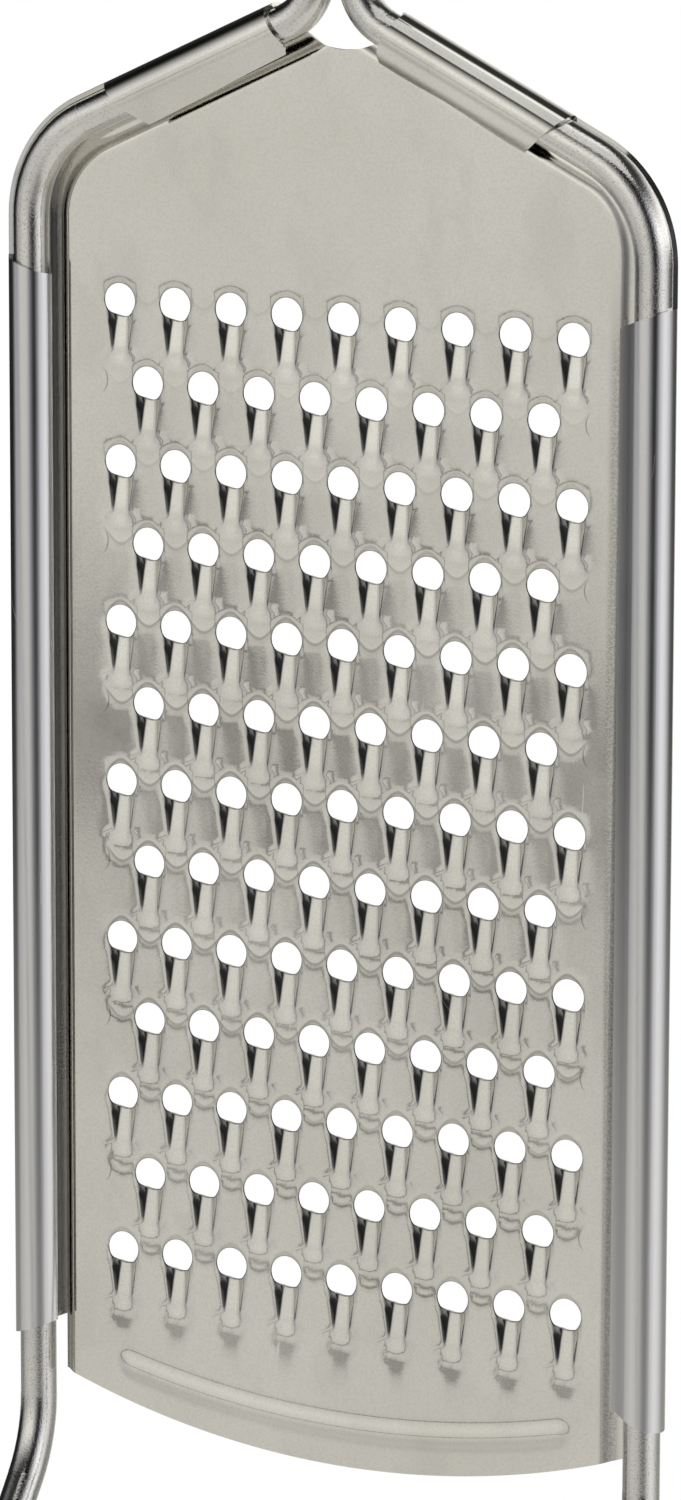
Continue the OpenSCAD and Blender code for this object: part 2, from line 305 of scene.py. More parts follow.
def tooth_block():
    """The flat, perforated rectangle of all teeth, with a plain border above and below."""
    cell = tooth_cell()
    top_row = (ROWS - 1) / 2 * ROW
    left = -(LONG_ROW - 1) / 2 * PITCH
    long_rows = arrayed(cell, "long_rows", LONG_ROW, (ROWS + 1) // 2, (left, top_row))
    short_rows = arrayed(cell, "short_rows", LONG_ROW - 1, ROWS // 2, (left + PITCH / 2, top_row - ROW))
    half = flat_grid("row_end", CELL_COLUMNS // 2, CELL_ROWS, (0, CELL_TOP - ROW / 2), PITCH / 2, ROW)
    # A half patch's middle lies a quarter of a column inwards from the ends of the long rows
    ends = [arrayed(half, "row_ends", 1, ROWS // 2,
                    (side * (LONG_ROW / 2 - 0.25) * PITCH, top_row - ROW)) for side in (-1, 1)]
    bpy.data.objects.remove(cell)
    bpy.data.objects.remove(half)
    block = join([long_rows, short_rows] + ends, "tooth_block")
    edit_all(block)
    bpy.ops.mesh.remove_doubles(threshold=MERGE_CELLS)
    top, bottom = top_row + CELL_TOP, -top_row + CELL_TOP - ROW
    for edge_z, steps in ((top, BORDER_ABOVE), (bottom, BORDER_BELOW)):
        level = edge_z
        for step in steps:
            pick(block, lambda e: all(abs(v.co.z - level) < SAME for v in e.verts), "EDGE")
            bpy.ops.mesh.extrude_region_move(TRANSFORM_OT_translate={"value": (0, 0, step)})
            level += step
    half_width = LONG_ROW / 2 * PITCH
    low, high = bottom + sum(BORDER_BELOW), top + sum(BORDER_ABOVE)
    pick(block, lambda c: abs(abs(c.x) - half_width) < SAME or c.z < low + SAME or c.z > high - SAME)
    mark_fill_edge(block)
    leave_edit()
    return block


def mark_fill_edge(piece):
    """Puts the selected vertices in the group that bounds the plain middle of the sheet."""
    group = piece.vertex_groups.get("fill_edge") or piece.vertex_groups.new(name="fill_edge")
    piece.vertex_groups.active_index = group.index
    bpy.context.scene.tool_settings.vertex_group_weight = 1.0
    bpy.ops.object.vertex_group_assign()


def drawn_line(name, points):
    """Line of vertices drawn from point to point."""
    deselect_all()
    bpy.ops.mesh.primitive_plane_add(size=1.0)
    line = bpy.context.active_object
    line.name = name
    edit_all(line)
    bpy.ops.mesh.merge(type="CENTER")
    bpy.ops.transform.translate(value=points[0])
    for start, end in zip(points, points[1:]):
        step = Vector(end) - Vector(start)
        bpy.ops.mesh.extrude_region_move(TRANSFORM_OT_translate={"value": step})
    leave_edit()
    return line


# The bend between the tooth field and the strip behind the wire: (inwards from the wire, Y)
STRIP = ((SIDE_INSET, ROLL_R), (2.3, ROLL_R), (1.1, ROLL_R), (0.0, ROLL_R))
SHOULDER_BEND = ((6.6, FIELD_Y), (6.1, FIELD_Y), (5.65, 2.09), (5.3, 2.15), (4.95, 2.29), (4.6, 2.48),
                 (4.25, 2.65), (3.9, 2.74)) + STRIP
RIGHT_BEND = ((8.5, FIELD_Y), (8.1, 2.084), (7.8, 2.11), (7.5, 2.20), (7.15, 2.35), (6.8, 2.51),
              (6.4, 2.66), (5.8, 2.745)) + STRIP
LEFT_BEND = ((6.0, FIELD_Y), (5.5, FIELD_Y), (5.1, 2.087), (4.85, 2.12), (4.6, 2.21), (4.35, 2.35),
             (4.1, 2.51), (3.8, 2.67)) + STRIP
# Where the bare edge at the corners stops, counted along the section
RIGHT_BARE, LEFT_BARE = len(SHOULDER_BEND) + 5, len(SHOULDER_BEND) + 10
# The lip in which each roll ends: where the round part stops, then (length, turn) of each step
RIGHT_ROLL = (208, ((1.1, 208), (1.1, 206), (1.0, 203)))
LEFT_ROLL = (232, ((0.6, 235), (0.6, 239), (0.6, 243)))
TAB_ROLL = (214, ((1.15, 214), (1.15, 214), (1.1, 217)))
LIP_STEPS = 3
# Steps of the roll's first quarter, of the rest of it, and of the spin round the corner
QUARTER_STEPS, REST_STEPS, CORNER_STEPS = 9, 13, 18
# The height at which an edge is started, and the step past the neck; both move to their curves later
EDGE_START, PAST_NECK = -100.0, 3
# How far the bend of each side moves outwards on its way up
RIGHT_LEAN, LEFT_LEAN = 1.5, 0.0
# How far the cut ends slant at the sides, at the start of the tabs, and at the neck
SIDE_SLANT, TAB_SLANT, NECK_SLANT = math.radians(24), math.radians(29), math.radians(10)
# Where the side rolls end, and where the tabs start and end along the shoulder, with rows between
SIDE_TOP, SIDE_BOTTOM = 77.5, -85.9
TAB_START, TAB_END = 5.1, 34.6
TAB_ROWS = (12.0, 16.0, 20.0, 24.0, 28.0, 31.5)
# How far the free edge of each tab wanders along its rows
RIGHT_WAVE = (0.1, 0.25, 0.1, -0.25, -0.35, -0.1, 0.0, -0.1)
LEFT_WAVE = (0.3, 0.25, 0.1, 0.0, -0.25, -0.4, -0.5, -0.6)
# How far the tabs' upper corners are rounded off, over the last steps of the lip
TAB_ROUNDING = (0.0, 0.05, 0.25, 0.9)


def edge_section(bend, roll):
    """Section of the sheet's edge, from the tooth field round the wire: (inwards from the wire, Y)."""
    end_turn, lip = roll
    section = list(bend)
    turns = [90 * i / QUARTER_STEPS for i in range(1, QUARTER_STEPS + 1)]
    turns += [90 + (end_turn - 90) * i / REST_STEPS for i in range(1, REST_STEPS + 1)]
    for turn in turns:
        a = math.radians(turn)
        section.append((-ROLL_R * math.sin(a), ROLL_R * math.cos(a)))
    n, y = section[-1]
    for length, turn in lip:
        a = math.radians(turn)
        n, y = n - length * math.cos(a), y - length * math.sin(a)
        section.append((n, y))
    return section


# The shoulder's own frame: the middle of the corner, along the shoulder, and outwards from it
CORNER = Vector((CORNER_X, 0, CORNER_Z))
ALONG = Vector((-math.sin(SHOULDER_TURN), 0, math.cos(SHOULDER_TURN)))
OUT = Vector((math.cos(SHOULDER_TURN), 0, math.sin(SHOULDER_TURN)))
SHOULDER = edge_section(SHOULDER_BEND, TAB_ROLL)
LAST = len(SHOULDER) - 1
STRIP_START = len(SHOULDER_BEND) - len(STRIP)
# Rows of vertices at the ends of the rolls, before the ends are slanted
SIDE_ROW = SIDE_BOTTOM + math.tan(SIDE_SLANT) * (ROLL_OUT + SIDE_INSET)
TOP_ROW = SIDE_TOP - math.tan(SIDE_SLANT) * SHEET_T
NECK_ROW = TAB_END + math.tan(NECK_SLANT) * SHEET_T
ALL_TAB_ROWS = (TAB_START + math.tan(TAB_SLANT) * SHEET_T,) + TAB_ROWS + (NECK_ROW,)


def edge_blank(name):
    """The shoulder's section drawn up the side, round the corner and along the shoulder."""
    piece = drawn_line(name, [(WIRE_X - n, y, EDGE_START) for n, y in SHOULDER])
    edit_all(piece)
    level = EDGE_START
    for z in (SIDE_ROW, TOP_ROW, CORNER_Z):
        bpy.ops.mesh.extrude_region_move(TRANSFORM_OT_translate={"value": (0, 0, z - level)})
        level = z
    bpy.ops.mesh.spin(steps=CORNER_STEPS, angle=SHOULDER_TURN, center=CORNER, axis=(0, 1, 0))
    level = 0.0
    for s in ALL_TAB_ROWS + (NECK_ROW + PAST_NECK,):
        bpy.ops.mesh.extrude_region_move(TRANSFORM_OT_translate={"value": ALONG * (s - level)})
        level = s
    leave_edit()
    return piece


def place_in_run(co):
    """(run, point of the section, height or turn or length along the run) of a vertex."""
    away = co - CORNER
    if co.z < CORNER_Z + PAST_SIDE and co.x > CORNER_X:
        run, n, s = "side", WIRE_X - co.x, co.z
    elif away.dot(ALONG) < PAST_CORNER:
        run, n, s = "corner", CORNER_R - math.hypot(away.x, away.z), math.atan2(away.z, away.x)
    else:
        run, n, s = "shoulder", CORNER_R - away.dot(OUT), away.dot(ALONG)
    k = min(range(LAST + 1), key=lambda i: (SHOULDER[i][0] - n) ** 2 + (SHOULDER[i][1] - co.y) ** 2)
    return run, k, s


def on_side(side, k, z, lean, bare_end):
    """Place of a vertex of the side, at a point of the side's section and at a height."""
    n, y = side[k]
    rise = min(1.0, max(0.0, (z - SIDE_BOTTOM) / (CORNER_Z - SIDE_BOTTOM)))
    if k < STRIP_START:
        n -= lean * rise
    if abs(z - EDGE_START) < SAME:
        z = LOWER_Z - math.sqrt(LOWER_R ** 2 - (WIRE_X - n) ** 2)
    elif abs(z - SIDE_ROW) < SAME:
        z = SIDE_BOTTOM + math.tan(SIDE_SLANT) * (ROLL_OUT + min(n, SIDE_INSET))
    elif abs(z - TOP_ROW) < SAME and k > bare_end:
        z = SIDE_TOP - math.tan(SIDE_SLANT) * (ROLL_OUT + n)
    return Vector((WIRE_X - n, y, z))


def round_corner(side, k, turn, lean):
    """Place of a vertex of the corner, where the side's section changes to the shoulder's."""
    share = smooth_step(turn / SHOULDER_TURN)
    n, y = side[k]
    if k < STRIP_START:
        n -= lean
    n += share * (SHOULDER[k][0] - n)
    place = CORNER + Vector((math.cos(turn), 0, math.sin(turn))) * (CORNER_R - n)
    place.y = y + share * (SHOULDER[k][1] - y)
    return place


def shape_tab(vertex, k, s, wave):
    """Moves a vertex of the tab: the free edge wanders, the ends slant, and the upper corner is round."""
    row = min(range(len(ALL_TAB_ROWS)), key=lambda i: abs(ALL_TAB_ROWS[i] - s))
    lip_point = max(0, k - (LAST - LIP_STEPS))
    share = lip_point / LIP_STEPS
    before, after = SHOULDER[LAST - 1], SHOULDER[LAST]
    step = Vector((-(after[0] - before[0]) * OUT.x, after[1] - before[1],
                   -(after[0] - before[0]) * OUT.z)).normalized()
    vertex.co += step * wave[row] * share
    n = SHOULDER[k][0] + wave[row] * share
    if row == 0:
        vertex.co += ALONG * (TAB_START + math.tan(TAB_SLANT) * (ROLL_OUT + n) - s)
    elif row == len(ALL_TAB_ROWS) - 1:
        end = TAB_END + math.tan(NECK_SLANT) * (ROLL_OUT + n) - TAB_ROUNDING[lip_point]
        vertex.co += ALONG * (end - s)


def cut_bare_edges(piece, tags, bare_end):
    """Deletes the roll below the side's start, and round the corner and at the neck, where it is bare."""
    edit(piece)
    bpy.ops.mesh.select_mode(type="FACE")
    bpy.ops.mesh.select_all(action="DESELECT")
    mesh = bmesh.from_edit_mesh(piece.data)
    for face in mesh.faces:
        painted_darkening = [tags[v.index] for v in face.verts]
        runs = {m[0] for m in painted_darkening}
        highest = max(m[1] for m in painted_darkening)
        low, high = min(m[2] for m in painted_darkening), max(m[2] for m in painted_darkening)
        below_roll = runs == {"side"} and high < SIDE_ROW + SAME
        bare = (runs == {"side"} and low > TOP_ROW - SAME) or "corner" in runs \
            or (runs == {"shoulder"} and low > NECK_ROW - SAME)
        if (below_roll and highest > STRIP_START) or (bare and highest > bare_end):
            face.select_set(True)
    bmesh.update_edit_mesh(piece.data)
    bpy.ops.mesh.delete(type="FACE")
    leave_edit()


def sheet_edge(name, bend, roll, lean, wave, bare_end):
    """One edge of the sheet: bend, strip and roll, up the side, round the corner, along the shoulder."""
    side = edge_section(bend, roll)
    piece = edge_blank(name)
    tags = [place_in_run(vertex.co) for vertex in piece.data.vertices]
    for vertex, (run, k, s) in zip(piece.data.vertices, tags):
        if run == "side":
            vertex.co = on_side(side, k, s, lean, bare_end)
        elif run == "corner":
            vertex.co = round_corner(side, k, s, lean)
        elif s > NECK_ROW + PAST_NECK / 2:
            vertex.co += ALONG * (notch_edge_along(SHOULDER[k][0]) - s)
        elif k > bare_end:
            shape_tab(vertex, k, s, wave)
    edit(piece)
    bpy.ops.mesh.select_all(action="DESELECT")
    mesh = bmesh.from_edit_mesh(piece.data)
    for vertex in mesh.verts:
        vertex.select_set(tags[vertex.index][1] == 0)
    bmesh.update_edit_mesh(piece.data)
    mark_fill_edge(piece)
    leave_edit()
    cut_bare_edges(piece, tags, bare_end)
    return piece


def mirror(piece):
    edit_all(piece)
    bpy.ops.transform.resize(value=(-1, 1, 1), center_override=(0, 0, 0))
    leave_edit()
    return piece


def spun_line(name, radius, centre_z, start, end, steps):
    """Arc of edges in the pressed face, from one angle to another, measured from straight down."""
    first = (radius * math.sin(start), FIELD_Y, centre_z - radius * math.cos(start))
    arc = drawn_line(name, [first])
    edit_all(arc)
    bpy.ops.mesh.spin(steps=steps, angle=end - start, center=(0, FIELD_Y, centre_z), axis=(0, 1, 0))
    bpy.ops.mesh.select_all(action="SELECT")
    mark_fill_edge(arc)
    leave_edit()
    return arc


def bead_strip():
    """Flat strip of lines that follow the bowed bead, finer towards its ends."""
    reach = math.asin(BEAD_REACH / BEAD_R)
    start = -reach - BEAD_MARGIN
    points = [((BEAD_R + d) * math.sin(start), FIELD_Y, BEAD_Z - (BEAD_R + d) * math.cos(start))
              for d in BEAD_LINES]
    strip = drawn_line("bead_strip", points)
    edit_all(strip)
    at_end = (BEAD_MARGIN + BEAD_FINE, BEAD_END_STEPS)
    for angle, steps in (at_end, (2 * (reach - BEAD_FINE), BEAD_STEPS), at_end):
        bpy.ops.mesh.spin(steps=steps, angle=angle, center=(0, FIELD_Y, BEAD_Z), axis=(0, 1, 0))
    bpy.ops.mesh.select_all(action="SELECT")
    bpy.ops.mesh.region_to_loop()
    bpy.ops.mesh.select_mode(type="VERT")
    mark_fill_edge(strip)
    leave_edit()
    return strip


def soft_min(a, b, k):
    """The smaller of two values, rounded over a width where they meet."""
    return (a + b - math.sqrt((a - b) ** 2 + k * k)) / 2


def tooth_depth(x, z):
    """How far one tooth's groove, rim and dish lie behind the flat sheet; x, z from the hole."""
    inside = groove_half_width(z) - math.hypot(x, max(0.0, BULB_Z - z))
    groove = 0.0
    if z < GROOVE_HIGHEST:
        groove = max(0.0, soft_min(groove_floor(z), max(inside, GROOVE_OUTSIDE), FLOOR_ROUND))
        groove = (groove + math.sqrt(groove ** 2 + MOUTH_ROUND ** 2) - MOUTH_ROUND) / 2
    from_hole = math.hypot(x, z) - HOLE_R
    rim = RIM_DEEP * math.exp(-max(0.0, from_hole) / RIM_FADE) * (1.0 - min(1.0, groove / RIM_GONE))
    rim = max(0.0, rim - RIM_LEAST)
    from_axis = math.hypot(x, max(0.0, DISH_BOTTOM - z, z - DISH_TOP))
    share = min(1.0, max(0.0, (DISH_HALF - from_axis) / DISH_SLOPE))
    dish = DISH_DEEP * smooth_step(share) * (1.0 - min(1.0, groove / DISH_GONE))
    return min(groove + rim + dish, GROOVE_DEEP + MOUTH_ROUND)


def press_depth(x, z):
    """Depth of all teeth at a place on the sheet."""
    if z < PRESSED_BOTTOM or z > PRESSED_TOP:
        return 0.0
    deepest = 0.0
    nearest = (ROWS - 1) / 2 - z / ROW
    for row in (math.floor(nearest) - 1, math.floor(nearest), math.floor(nearest) + 1):
        if not 0 <= row < ROWS:
            continue
        count = LONG_ROW - row % 2
        shift = -(count - 1) / 2 * PITCH
        column = min(count - 1, max(0, round((x - shift) / PITCH)))
        deepest = max(deepest, tooth_depth(x - shift - column * PITCH, z - ((ROWS - 1) / 2 - row) * ROW))
    return deepest


def bead_height(x, z):
    """Height of the bead above the sheet at a place."""
    radius = math.hypot(x, z - BEAD_Z)
    if z > 0 or abs(radius - BEAD_R) > BEAD_HALF:
        return 0.0
    past = max(0.0, abs(x) - (BEAD_REACH - BEAD_HALF))
    off = min(1.0, math.hypot(radius - BEAD_R, past) / BEAD_HALF)
    return BEAD_H * (1 + math.cos(math.pi * off)) / 2


def grating_plate():
    """The whole sheet: teeth, edges and bead joined and filled, then pressed and thickened."""
    right_edge = sheet_edge("right_edge", RIGHT_BEND, RIGHT_ROLL, RIGHT_LEAN, RIGHT_WAVE, RIGHT_BARE)
    left_edge = mirror(sheet_edge("left_edge", LEFT_BEND, LEFT_ROLL, LEFT_LEAN, LEFT_WAVE, LEFT_BARE))
    right_end = math.asin((WIRE_X - RIGHT_BEND[0][0]) / LOWER_R)
    left_end = math.asin((WIRE_X - LEFT_BEND[0][0]) / LOWER_R)
    inset = SHOULDER_BEND[0][0]
    notch_x = CORNER_X + (CORNER_R - inset) * math.cos(SHOULDER_TURN)
    notch_x -= notch_edge_along(inset) * math.sin(SHOULDER_TURN)
    notch_end = math.asin(notch_x / NOTCH_R)
    plate = join([tooth_block(), right_edge, left_edge, bead_strip(),
                  spun_line("lower_edge", LOWER_R, LOWER_Z, -left_end, right_end, LOWER_STEPS),
                  spun_line("notch_edge", NOTCH_R, NOTCH_Z, -notch_end, notch_end, NOTCH_STEPS)],
                 "grating_plate")
    edit_all(plate)
    bpy.ops.mesh.remove_doubles(threshold=MERGE_PARTS)
    group = plate.vertex_groups["fill_edge"].index
    mesh = bmesh.from_edit_mesh(plate.data)
    layer = mesh.verts.layers.deform.verify()

    def bounds_middle(e):
        return (e.is_boundary or e.is_wire) and all(group in v[layer] for v in e.verts)

    pick(plate, bounds_middle, "EDGE")
    bpy.ops.mesh.fill(use_beauty=True)
    bpy.ops.mesh.select_all(action="SELECT")
    bpy.ops.mesh.normals_make_consistent(inside=False)
    leave_edit()
    flat = max(plate.data.polygons, key=lambda p: p.area)
    if flat.normal.y > 0:
        edit_all(plate)
        bpy.ops.mesh.flip_normals()
        leave_edit()
    pressed = plate.vertex_groups.new(name="pressed")
    raised = plate.vertex_groups.new(name="raised")
    for vertex in plate.data.vertices:
        if abs(vertex.co.y - FIELD_Y) > IN_PLANE:
            continue
        depth = press_depth(vertex.co.x, vertex.co.z)
        height = bead_height(vertex.co.x, vertex.co.z)
        if depth > 0:
            pressed.add([vertex.index], depth / PRESS_SCALE, "REPLACE")
        if height > 0:
            raised.add([vertex.index], height / BEAD_H, "REPLACE")
    for group_name, strength in (("pressed", PRESS_SCALE), ("raised", -BEAD_H)):
        displace = plate.modifiers.new(group_name, "DISPLACE")
        displace.direction = "Y"
        displace.mid_level = 0.0
        displace.strength = strength
        displace.vertex_group = group_name
    wall = plate.modifiers.new("wall", "SOLIDIFY")
    wall.thickness = SHEET_T
    wall.offset = -1.0
    apply_all(plate)
    edit_all(plate)
    bpy.ops.transform.resize(value=(MM, MM, MM), center_override=(0, 0, 0))
    bpy.ops.transform.translate(value=(0, 0, -EYE_Z * MM))
    leave_edit()
    deselect_all()
    plate.select_set(True)
    bpy.context.view_layer.objects.active = plate
    bpy.ops.object.shade_smooth_by_angle(angle=SMOOTH_ANGLE)
    return plate


# ---------------------------------------------------------------- materials


class Graph:
    """Short way to add and join the nodes of one node tree."""

    def __init__(self, tree):
        self.nodes = tree.nodes
        self.links = tree.links

    def add(self, kind, **values):
        node = self.nodes.new(kind)
        for name, value in values.items():
            if hasattr(node, name):
                setattr(node, name, value)
            else:
                self.put(node, name, value)
        return node

    def put(self, node, socket, value):
        target = node.inputs[socket]
        if isinstance(value, bpy.types.NodeSocket):
            self.links.new(value, target)
        else:
            target.default_value = value

    def math(self, operation, a, b=0.5):
        node = self.add("ShaderNodeMath", operation=operation)
        self.put(node, 0, a)
        self.put(node, 1, b)
        return node.outputs[0]

    def times(self, a, b):
        return self.math("MULTIPLY", a, b)

    def plus(self, a, b):
        return self.math("ADD", a, b)

    def minus(self, a, b):
        return self.math("SUBTRACT", a, b)

    def size_of(self, value):
        """The value without its sign."""
        return self.math("ABSOLUTE", value)

    def remap(self, value, low, high, to_low=0.0, to_high=1.0, smooth=True):
        node = self.add("ShaderNodeMapRange", interpolation_type="SMOOTHSTEP" if smooth else "LINEAR")
        for name, number in (("Value", value), ("From Min", low), ("From Max", high),
                             ("To Min", to_low), ("To Max", to_high)):
            self.put(node, name, number)
        return node.outputs[0]

    def mix(self, factor, a, b, blend="MIX"):
        node = self.add("ShaderNodeMix", data_type="RGBA", blend_type=blend)
        self.put(node, 0, factor)
        self.put(node, 6, a)
        self.put(node, 7, b)
        return node.outputs[2]

    def noise(self, vector, scale, detail=3.0, roughness=0.55, distortion=0.0):
        return self.add("ShaderNodeTexNoise", Vector=vector, Scale=scale, Detail=detail,
                        Roughness=roughness, Distortion=distortion).outputs["Fac"]

    def stretched(self, vector, size):
        return self.add("ShaderNodeMapping", Vector=vector, Scale=size).outputs["Vector"]

    def pattern(self, group, place, size):
        return self.add("ShaderNodeGroup", node_tree=group, Place=place, Size=size).outputs["Mask"]

    def relief(self, shader, height, distance, strength):
        bump = self.add("ShaderNodeBump", Strength=strength, Distance=distance, Height=height)
        self.put(shader, "Normal", bump.outputs["Normal"])


def new_material(name):
    material = bpy.data.materials.new(name)
    material.use_nodes = True
    graph = Graph(material.node_tree)
    return material, graph, graph.nodes["Principled BSDF"]


def object_coordinates(graph):
    return graph.add("ShaderNodeTexCoord").outputs["Object"]


def pattern_group(name, build):
    """Node group with a place and a size going in and one mask coming out."""
    tree = bpy.data.node_groups.new(name, "ShaderNodeTree")
    tree.interface.new_socket(name="Place", in_out="INPUT", socket_type="NodeSocketVector")
    tree.interface.new_socket(name="Size", in_out="INPUT", socket_type="NodeSocketFloat")
    tree.interface.new_socket(name="Mask", in_out="OUTPUT", socket_type="NodeSocketFloat")
    graph = Graph(tree)
    source, sink = graph.add("NodeGroupInput"), graph.add("NodeGroupOutput")
    graph.put(sink, "Mask", build(graph, source.outputs["Place"], source.outputs["Size"]))
    return tree


# The span that holds most values of a noise
NOISE_SPAN = (0.3, 0.7)
# How much the patterns are drawn out upwards: the less, the longer
SMUDGE_STRETCH, SCRATCH_STRETCH, STREAK_STRETCH = (1.0, 1.0, 0.6), (1.0, 1.0, 0.22), (1.0, 1.0, 0.05)
# Half the width of a scratch, as a difference of its noise, and the patches in which there are any
SCRATCH_HALF, SCRATCHED_SIZE, SCRATCHED = 0.0022, 85.0, (0.62, 0.68)


def cloudy(graph, place, size):
    return graph.remap(graph.noise(place, size, 4.0, 0.6), *NOISE_SPAN)


def speckled(graph, place, size):
    return graph.remap(graph.noise(place, size, 2.0, 0.5), *NOISE_SPAN)


def drawn_streaks(graph, place, size):
    return graph.remap(graph.noise(graph.stretched(place, STREAK_STRETCH), size, 3.0), *NOISE_SPAN)


def hairlines(graph, place, size):
    """A few fine scratches, where a wandering noise crosses its middle value."""
    wander = graph.noise(graph.stretched(place, SCRATCH_STRETCH), size, 1.0, 0.4, 0.6)
    line = graph.remap(graph.size_of(graph.minus(wander, 0.5)), 0.0, SCRATCH_HALF, 1.0, 0.0)
    where = graph.remap(graph.noise(place, SCRATCHED_SIZE, 1.0), *SCRATCHED)
    return graph.times(line, where)


CLOUDS = pattern_group("cloudy_mottle", cloudy)
SPECKLE = pattern_group("fine_speckle", speckled)
STREAKS = pattern_group("drawn_streaks", drawn_streaks)
SCRATCHES = pattern_group("hairline_scratches", hairlines)
# Painted shade along the wavy crease above each row, in millimetres: height of its middle, swing, where its
# dark painted line fades, and the painted shadow below it, which grows to a strength and then ends
CREASE_MIDDLE, CREASE_SWING = 1.4, 1.7
CREASE_LINE = (0.14, 0.36)
CREASE_SHADE, CREASE_SHADE_END = (-1.5, -0.1, 0.0, 0.45), (0.0, 0.2)
# The painted crease shade is strongest in the middle rows: from row to row, and the strength at both
FROM_BELOW, FROM_ABOVE = (-5.0, -2.0, 0.35, 1.0), (5.0, 1.5, 0.25, 1.0)
# The painted shade line at the cut rim of each hole, in millimetres: radius, and where it fades
RIM_LINE_R, RIM_LINE = HOLE_R + 0.02, (0.05, 0.16)
# Where the painted shade of the tooth field ends at the sides, in metres, and below and above, in rows
FIELD_SHADE_SIDE, FIELD_SHADE_BELOW, FIELD_SHADE_ABOVE = (0.0385, 0.0400), (-6.4, -6.3), (6.35, 6.3)
# Where the sheet's rolls start, and the band in the fold beside the right lip that gets painted shade,
# speckled by the grain, and a grainier relief
ROLL_START = (0.0455, 0.0475)
SHADED_FOLD_IN, SHADED_FOLD_OUT, SHADED_FOLD_TOP = (0.0420, 0.0434), (0.0456, 0.0446), (-0.168, -0.186)
# How fine each pattern is, as the scale of its noise
SHEET_CLOUDS, SHEET_SMUDGES, SHEET_GRAIN, SHEET_STREAKS, SHEET_SCRATCHES = 30.0, 95.0, 3200.0, 1500.0, 60.0
WIRE_PITS, WIRE_CLOUDS, WIRE_STREAKS = 3600.0, 90.0, 900.0
CAP_SPECKLE, CAP_CLOUDS = 1800.0, 120.0
# How a pattern becomes a mask: from one value of it to another, and the mask at both
SMUDGE_MASK, GRAIN_MASK, FOLD_SHADE_MASK = (0.45, 1.0, 0.0, 0.16), (0.75, 0.0, 0.0, 0.16), (0.0, 1.0, 0.2, 0.5)
PIT_MASK = (0.0, 0.25, 0.35, 0.0)
# How strongly the painted shade of the creases and rims, the scratches and the worn spots show in the
# colour
CREASE_SHADE_SHARE, RIM_SHADE_SHARE, SCRATCH_SHARE, WORN_SHARE = 0.5, 0.75, 0.35, 0.4
SHEET_DARK, SHEET_LIGHT = (0.655, 0.642, 0.587, 1.0), (0.71, 0.70, 0.645, 1.0)
SMUDGE, GRAIN_PIT = (0.45, 0.44, 0.41, 1.0), (0.40, 0.39, 0.36, 1.0)
# The second colour on the next line is the dark painted shade of the creases, the hole rims and the fold
ROLLED_SHEET, PAINTED_SHADE = (0.665, 0.66, 0.655, 1.0), (0.16, 0.155, 0.145, 1.0)
SCRATCH = (0.86, 0.86, 0.84, 1.0)
WIRE_DARK, WIRE_LIGHT, WIRE_PIT = (0.64, 0.63, 0.60, 1.0), (0.71, 0.69, 0.65, 1.0), (0.30, 0.28, 0.25, 1.0)
RUBBER_DARK, RUBBER_LIGHT = (0.035, 0.035, 0.038, 1.0), (0.055, 0.055, 0.06, 1.0)
RUBBER_WORN = (0.075, 0.073, 0.07, 1.0)
# Roughness of the sheet, with what its rolls and scratches add, of the wire, and of the caps
SHEET_ROUGH, ROLL_ROUGH, SCRATCH_ROUGH = (0.07, 0.10), 0.05, 0.2
WIRE_ROUGH, CAP_ROUGH = (0.09, 0.15), (0.48, 0.62)
# Relief of each material in metres and its strength, and how much each pattern gives to it
SHEET_RELIEF, WIRE_RELIEF, CAP_RELIEF = 0.00008, 0.000012, 0.00002
SHEET_BUMP, WIRE_BUMP, CAP_BUMP = 1.0, 0.7, 0.6
GRAIN_RELIEF, STREAK_RELIEF, SCRATCH_RELIEF = (0.006, 0.05), (0.002, 0.03), -0.02
WIRE_STREAK_RELIEF = 0.4


def painted_crease_shade(graph, columns, rows_up):
    """Painted shade: a dark wavy line over the holes of each row and under the grooves of the row above,
    with a painted shadow below it.
    """
    row = graph.math("ROUND", graph.minus(rows_up, CREASE_MIDDLE / ROW))
    odd = graph.math("FLOORED_MODULO", row, 2.0)
    shifted = graph.plus(columns, graph.times(odd, 0.5))
    swing = graph.math("COSINE", graph.times(shifted, 2 * math.pi))
    over = graph.times(graph.minus(rows_up, row), ROW)
    over = graph.minus(graph.minus(over, CREASE_MIDDLE), graph.times(swing, CREASE_SWING))
    line = graph.remap(graph.size_of(over), *CREASE_LINE, 1.0, 0.0)
    below = graph.times(graph.remap(over, *CREASE_SHADE), graph.remap(over, *CREASE_SHADE_END, 1.0, 0.0))
    strength = graph.times(graph.remap(rows_up, *FROM_BELOW), graph.remap(rows_up, *FROM_ABOVE))
    return graph.times(graph.math("MAXIMUM", line, below), strength)


def painted_rim_shade(graph, columns, rows_up):
    """Painted shade: a thin dark ring at the cut rim of each hole."""
    row = graph.math("ROUND", rows_up)
    shift = graph.times(graph.math("FLOORED_MODULO", row, 2.0), 0.5)
    place_in_row = graph.plus(columns, shift)
    aside = graph.times(graph.minus(place_in_row, graph.math("ROUND", place_in_row)), PITCH)
    above = graph.times(graph.minus(rows_up, row), ROW)
    reach = graph.math("SQRT", graph.plus(graph.times(aside, aside), graph.times(above, above)))
    return graph.remap(graph.size_of(graph.minus(reach, RIM_LINE_R)), *RIM_LINE, 1.0, 0.0)


